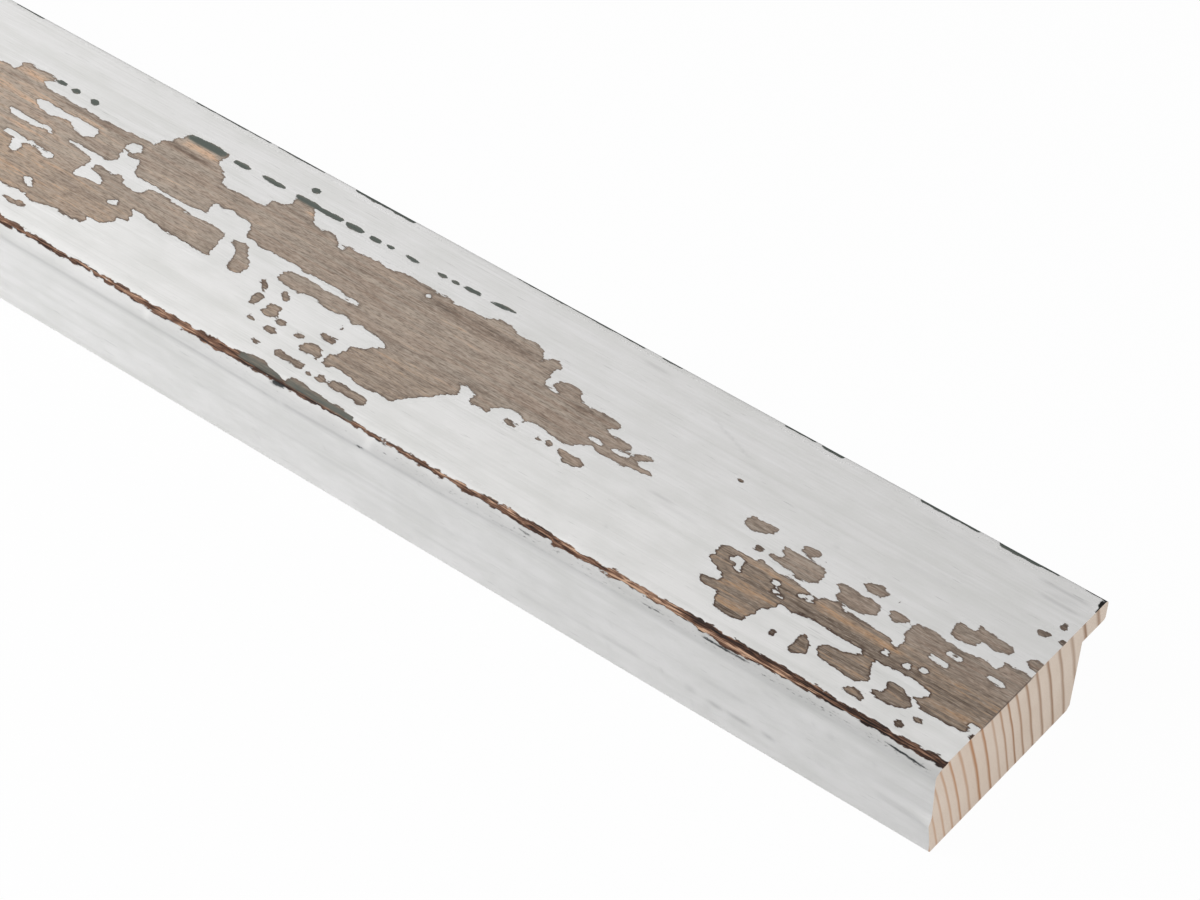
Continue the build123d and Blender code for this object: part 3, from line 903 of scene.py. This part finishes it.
def ring_pattern(tree, place):
    """Growth rings round the pith, 2.2 mm wide at the outer side and 4 mm at the lip, with a few narrow
    years near 17 mm in. Gives 0 in early wood to 1 in the hard brown late wood, and the ring's number."""
    from_pith = {"Vector": place, "Location": (0, PITH_OUT, PITH_BELOW), "Scale": (0, 1, 1)}
    out = add(tree, "VectorMath", [add(tree, "Mapping", from_pith)], operation="LENGTH")
    out = weighed(tree, -166.4, (out, 1000.0))
    count = add(tree, "Math", [out, weighed(tree, 0.4577, (out, -0.002457))], operation="MULTIPLY")
    from_narrow = weighed(tree, -11.9 / 5.8, (out, 1 / 5.8))
    squared = add(tree, "Math", [from_narrow, from_narrow], operation="MULTIPLY")
    fallen = add(tree, "Math", [squared, -1.0], operation="MULTIPLY")
    narrow = add(tree, "Math", [fallen], operation="EXPONENT")
    wave = add(tree, "Mapping", {"Vector": place, "Scale": per_mm(240, 11, 8)})
    wave = add(tree, "TexNoise", {"Vector": wave, "Scale": 1.0, "Detail": 1.0})
    rings = weighed(tree, count, (narrow, -0.6), (wave, 0.16))
    rings = add(tree, "Math", [rings, 0.13], operation="SUBTRACT")
    return add(tree, "Math", [rings], operation="FRACT"), add(tree, "Math", [rings], operation="FLOOR")


def sawn_end_grain():
    """Spruce cut square with a fine saw: pale pinkish early wood, thin brown late wood lines, open pores,
    faint saw lines, and stain drawn in at the painted edge."""
    material, tree = new_finish("fine_sawn_spruce_end_grain")
    place = add(tree, "TexCoord", [], "Object")
    across, up = add(tree, "SeparateXYZ", [place], "Y"), add(tree, "SeparateXYZ", [place], "Z")
    ring, year = ring_pattern(tree, place)
    late = ((0.0, 0.5), (0.08, 0.04), (0.7, 0.1), (0.88, 1), (0.96, 1), (1.0, 0.5))
    line = add(tree, "ValToRGB", [ring], stops=[(at, grey(amount)) for at, amount in late])
    strength = add(tree, "TexWhiteNoise", [year], noise_dimensions="1D")
    line = add(tree, "Math", [line, weighed(tree, 0.55, (strength, 0.45))], operation="MULTIPLY")
    pores = add(tree, "TexNoise", {"Vector": place, "Scale": 1000 / 0.3, "Detail": 2.0})
    patch = add(tree, "TexNoise", {"Vector": place, "Scale": 1000 / 7, "Detail": 2.0})
    inward = add(tree, "MapRange", [across, -0.022, 0.012], **SMOOTHLY)
    early = coated(tree, linear("#DED1C3"), (patch, "#D1C1B1"))
    brown = coated(tree, linear("#AF7D54"), (inward, "#92735B"))
    colour = add(tree, "Mix", [line, early, brown], **IN_COLOUR)

    # Stain runs in from the face along its middle
    stained = 0.85
    for along, low, high in ((up, 0.0192, 0.0197), (across, -0.014, -0.011), (across, 0.004, 0.001)):
        reach = add(tree, "MapRange", [along, low, high], **SMOOTHLY)
        stained = add(tree, "Math", [reach, stained], operation="MULTIPLY")
    open_pores = add(tree, "MapRange", [pores, 0.45, 0.8, 0, 0.3])
    colour = coated(tree, colour, (open_pores, "#B59B87"), (stained, "#463931"))

    saw = add(tree, "Mapping", {"Vector": place, "Rotation": (0.5, 0, 0), "Scale": per_mm(1, 14, 0.35)})
    saw = add(tree, "TexNoise", {"Vector": saw, "Scale": 1.0, "Detail": 2.0})
    close_finish(tree, colour, 0.75, 0.25, weighed(tree, 0.0, (line, 0.03), (saw, 0.05), (pores, 0.04)))
    return material


def planed_back():
    """Planed spruce left bare on the back and in the rebate: straight grain where the rings run out."""
    material, tree = new_finish("planed_spruce_back")
    place = add(tree, "TexCoord", [], "Object")
    ring, _ = ring_pattern(tree, place)
    late = ((0.0, 0.3), (0.15, 0.05), (0.6, 0.1), (0.86, 0.85), (1.0, 0.3))
    line = add(tree, "ValToRGB", [ring], stops=[(at, grey(amount)) for at, amount in late])
    fibre = streaks_along(tree, place, 2.5, 18, 0.35, 4.0)
    drift = streaks_along(tree, place, 6.5, 120, 9)
    dark_fibre = add(tree, "MapRange", [fibre, 0.5, 0.75, 0, 0.35])
    colour = coated(tree, linear("#DCC5A4"), (drift, "#CFB490"), (line, "#B98C60"), (dark_fibre, "#A98560"))
    close_finish(tree, colour, 0.7, 0.25, weighed(tree, 0.0, (line, 0.03), (fibre, 0.05)))
    return material


# The moulding

bm, across_layer = moulded_length()
lay_out_map(bm, across_layer)
give_finishes(bm, across_layer)
wear_down(bm, across_layer)
mesh = bpy.data.meshes.new("frame_moulding")
bm.to_mesh(mesh)
bm.free()
for material in (rubbed_paint(), sawn_end_grain(), planed_back()):
    mesh.materials.append(material)
moulding = bpy.data.objects.new("frame_moulding", mesh)
bpy.context.collection.objects.link(moulding)
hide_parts("moulding")
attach(moulding, "root")

# Camera, above the outer side beyond the near end, leaning slightly as the photograph does
CAMERA_AT = (0.77661, -0.37294, 0.43831)
CAMERA_WAY = (-0.42221, 0.602104, -0.677649)
CAMERA_LEAN = math.radians(4.13)
camera_data = bpy.data.cameras.new("camera")
camera_data.sensor_width = 36
camera_data.lens = 110.9
camera_data.clip_start = 0.01
camera_data.clip_end = 50
camera = bpy.data.objects.new("camera", camera_data)
bpy.context.collection.objects.link(camera)
camera.location = CAMERA_AT
camera.rotation_mode = "QUATERNION"
level_view = Vector(CAMERA_WAY).to_track_quat("-Z", "Y")
camera.rotation_quaternion = level_view @ Quaternion((0, 0, 1), CAMERA_LEAN)
bpy.context.scene.camera = camera

# Floor: white paper, which the camera sees as nearly pure white with a soft shadow on it
floor_bm = bmesh.new()
bmesh.ops.create_grid(floor_bm, x_segments=1, y_segments=1, size=6)
floor_mesh = bpy.data.meshes.new("paper_floor")
floor_bm.to_mesh(floor_mesh)
floor_bm.free()
paper, tree = new_finish("white_paper_floor")
diffuse = add(tree, "BsdfDiffuse", [linear("#D7D8DA")])
glow = add(tree, "Emission", [grey(1), 1.0])
seen = add(tree, "Math", [add(tree, "LightPath", [], "Is Camera Ray"), 0.975], operation="MULTIPLY")
add(tree, "OutputMaterial", [add(tree, "MixShader", [seen, diffuse, glow])])
floor_mesh.materials.append(paper)
floor = bpy.data.objects.new("paper_floor", floor_mesh)
bpy.context.collection.objects.link(floor)

# Light: an even white room, with one large soft lamp high on the outer side and a small one at the end
world = bpy.data.worlds.new("studio")
world.use_nodes = True
bpy.context.scene.world = world
tree = world.node_tree
tree.nodes.clear()
room = add(tree, "Background", [linear("#F5F5F7"), 0.33])
white = add(tree, "Background", [grey(1), 1.0])
seen = add(tree, "LightPath", [], "Is Camera Ray")
add(tree, "OutputWorld", [add(tree, "MixShader", [seen, room, white])])

for name, place, aim, size, width, power in (
    ("key", (0.05, -0.36, 0.49), (0.05, 0, 0.01), 0.9, 0.3, 4.93),
    ("end fill", (1.5, 0.12, 0.16), (0.6, 0, 0.01), 0.5, 0.25, 4.75),
):
    lamp_data = bpy.data.lights.new(name, "AREA")
    lamp_data.shape = "RECTANGLE"
    lamp_data.size = size
    lamp_data.size_y = width
    lamp_data.energy = power
    lamp = bpy.data.objects.new(name, lamp_data)
    bpy.context.collection.objects.link(lamp)
    lamp.location = place
    lamp.rotation_mode = "QUATERNION"
    lamp.rotation_quaternion = (Vector(aim) - Vector(place)).to_track_quat("-Z", "Y")

bpy.context.scene.view_settings.view_transform = "Standard"
